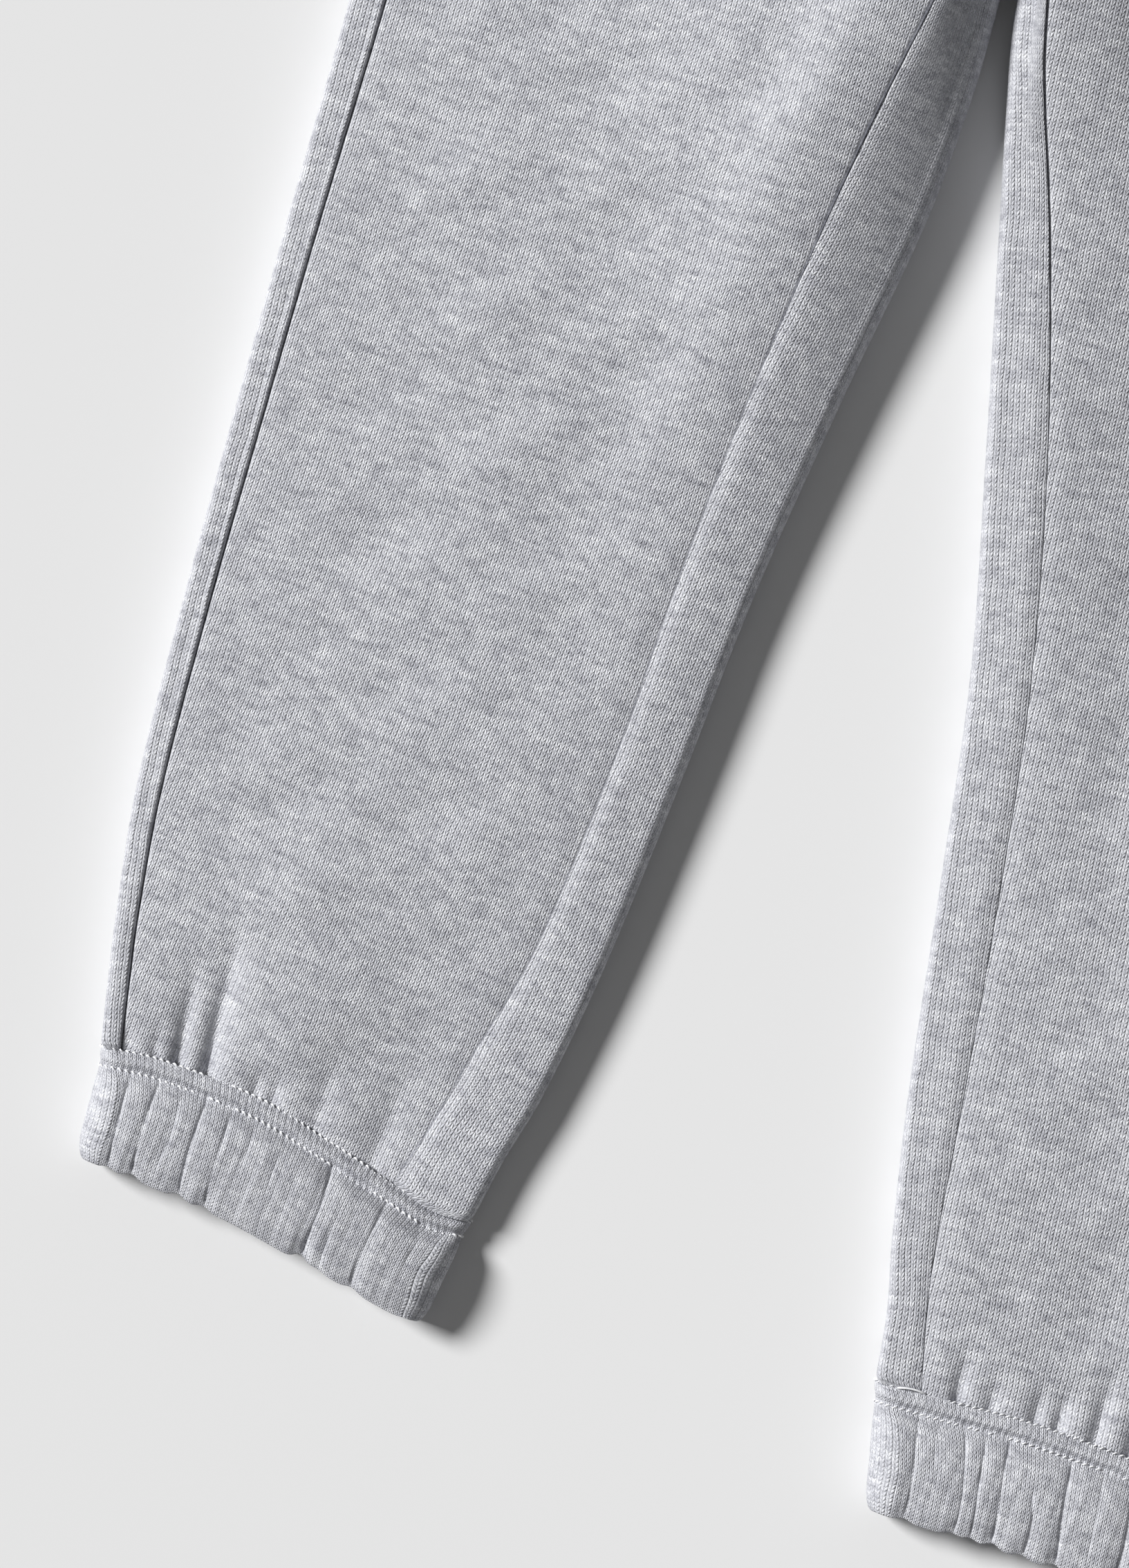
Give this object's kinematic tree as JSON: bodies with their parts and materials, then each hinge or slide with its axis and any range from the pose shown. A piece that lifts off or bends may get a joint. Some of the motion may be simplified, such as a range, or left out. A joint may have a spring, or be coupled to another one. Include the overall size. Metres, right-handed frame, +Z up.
{
  "type": "jogger sweatpants",
  "caption": "Child's jogger sweatpants laid flat, front up, with gathered turned-up hem casings and an elasticated waistband",
  "frame": {"origin": "middle of the laid garment's box, on the surface that it lies on", "axes": "+X to the wearer's left, +Y to the waist, +Z up from the surface, out of the front"},
  "size_m": [0.3286, 0.5831, 0.024],
  "materials": {
    "right_front": "brushed fleece jersey, grey heather",
    "right_back": "brushed fleece jersey, grey heather",
    "left_front": "brushed fleece jersey, grey heather",
    "left_back": "brushed fleece jersey, grey heather",
    "right_hem_casing": "brushed fleece jersey, grey heather, doubled over elastic",
    "left_hem_casing": "brushed fleece jersey, grey heather, doubled over elastic",
    "waistband": "brushed fleece jersey, grey heather, doubled over elastic"
  },
  "bodies": {
    "root": {"right_front": "right_front", "right_back": "right_back", "left_front": "left_front", "left_back": "left_back", "right_hem_casing": "right_hem_casing", "left_hem_casing": "left_hem_casing", "waistband": "waistband"}
  },
  "joints": []
}
